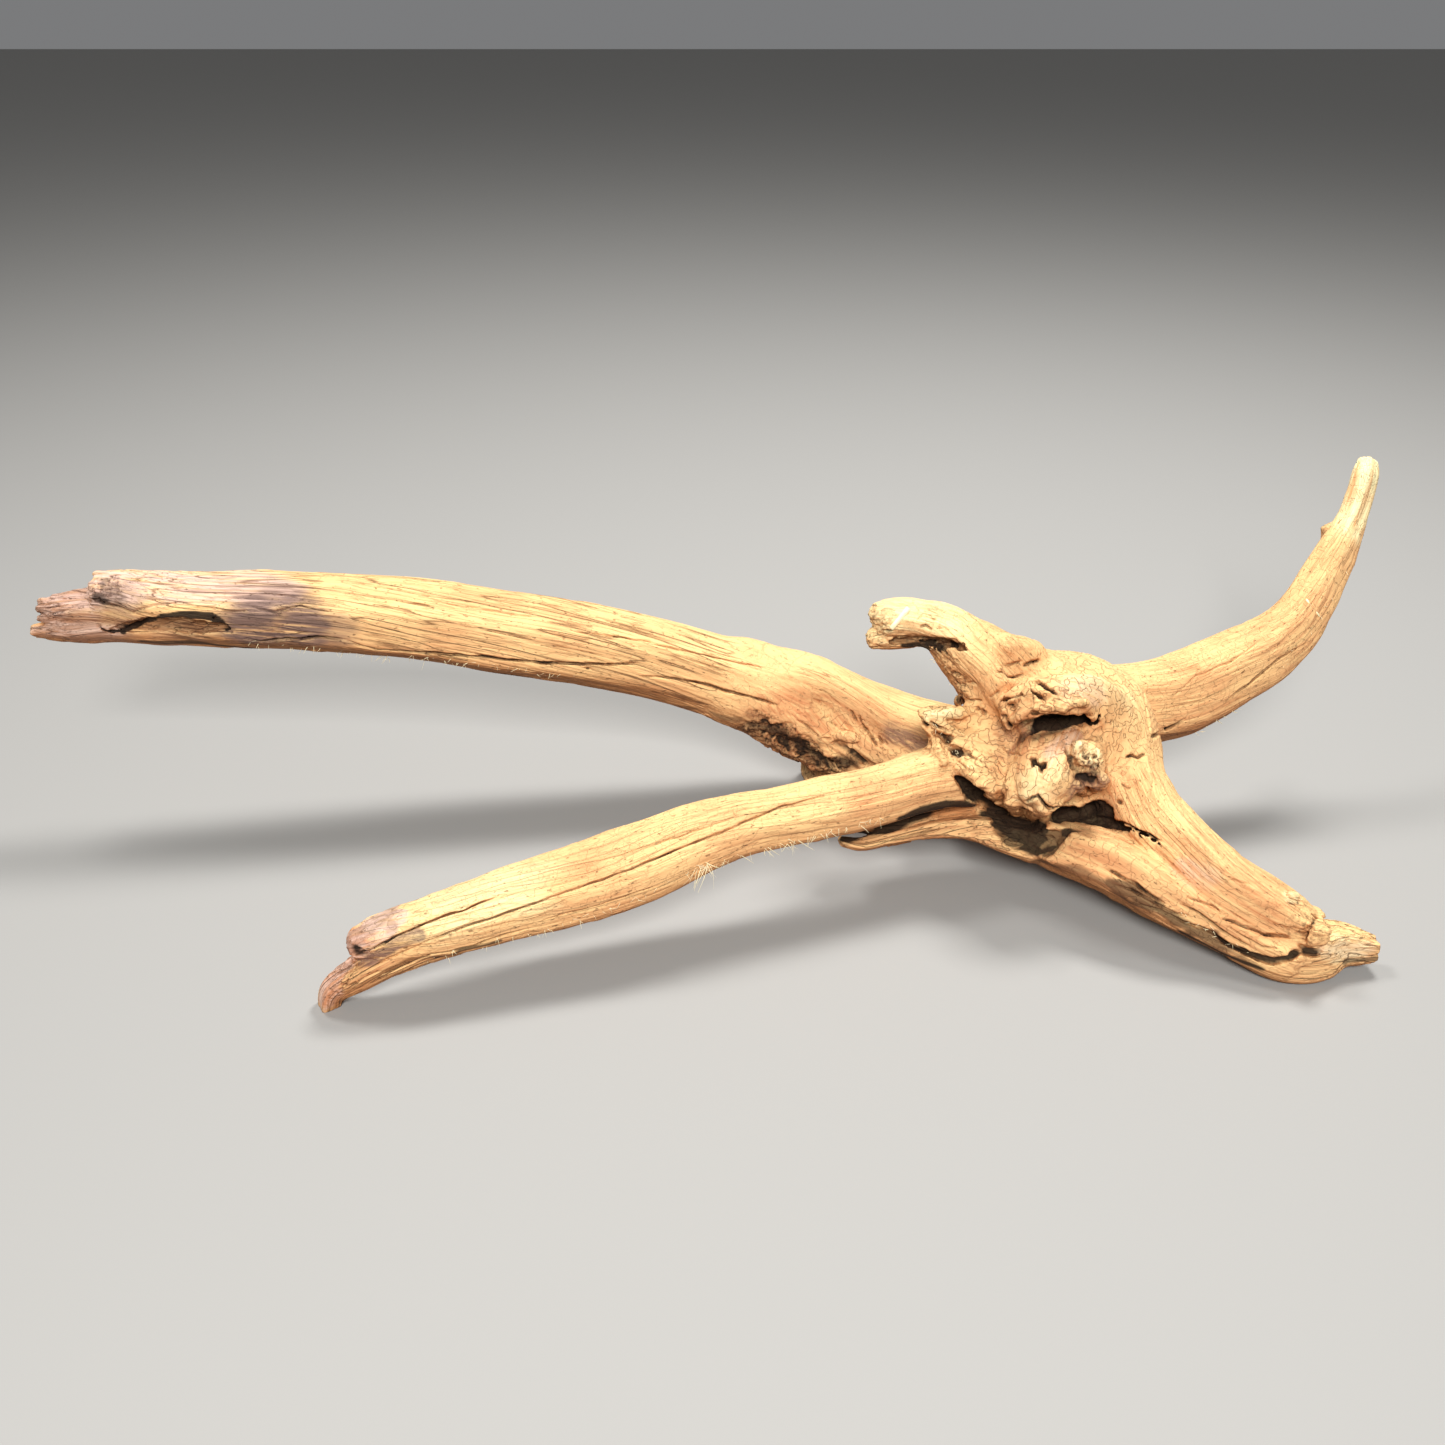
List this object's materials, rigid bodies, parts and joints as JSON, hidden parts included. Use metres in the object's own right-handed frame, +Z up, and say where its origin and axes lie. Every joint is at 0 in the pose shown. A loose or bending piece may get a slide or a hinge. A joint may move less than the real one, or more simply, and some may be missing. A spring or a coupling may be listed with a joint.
{
  "type": "driftwood branch",
  "caption": "Weathered root with a knotty crown, a long arching branch, a lower front branch, a short thick leg, a rising curved horn and a stubby hook; it lies on worn tips.",
  "frame": {"origin": "on the surface that the piece rests on, under the middle of its bounding box", "axes": "+X along the long branch towards the horn, -Y towards the side with the snout, +Z up"},
  "size_m": [0.63, 0.2094, 0.163],
  "materials": {
    "wood_tan": "dry, bare, fibrous",
    "wood_pale": "dry, bare, fibrous",
    "wood_brown": "dry, bare, crumbly"
  },
  "bodies": {
    "root": {"crown": "wood_tan", "long_branch": "wood_pale", "heel_root": "wood_brown", "front_branch": "wood_pale", "right_leg": "wood_tan", "horn": "wood_tan", "hook": "wood_pale"}
  },
  "joints": []
}
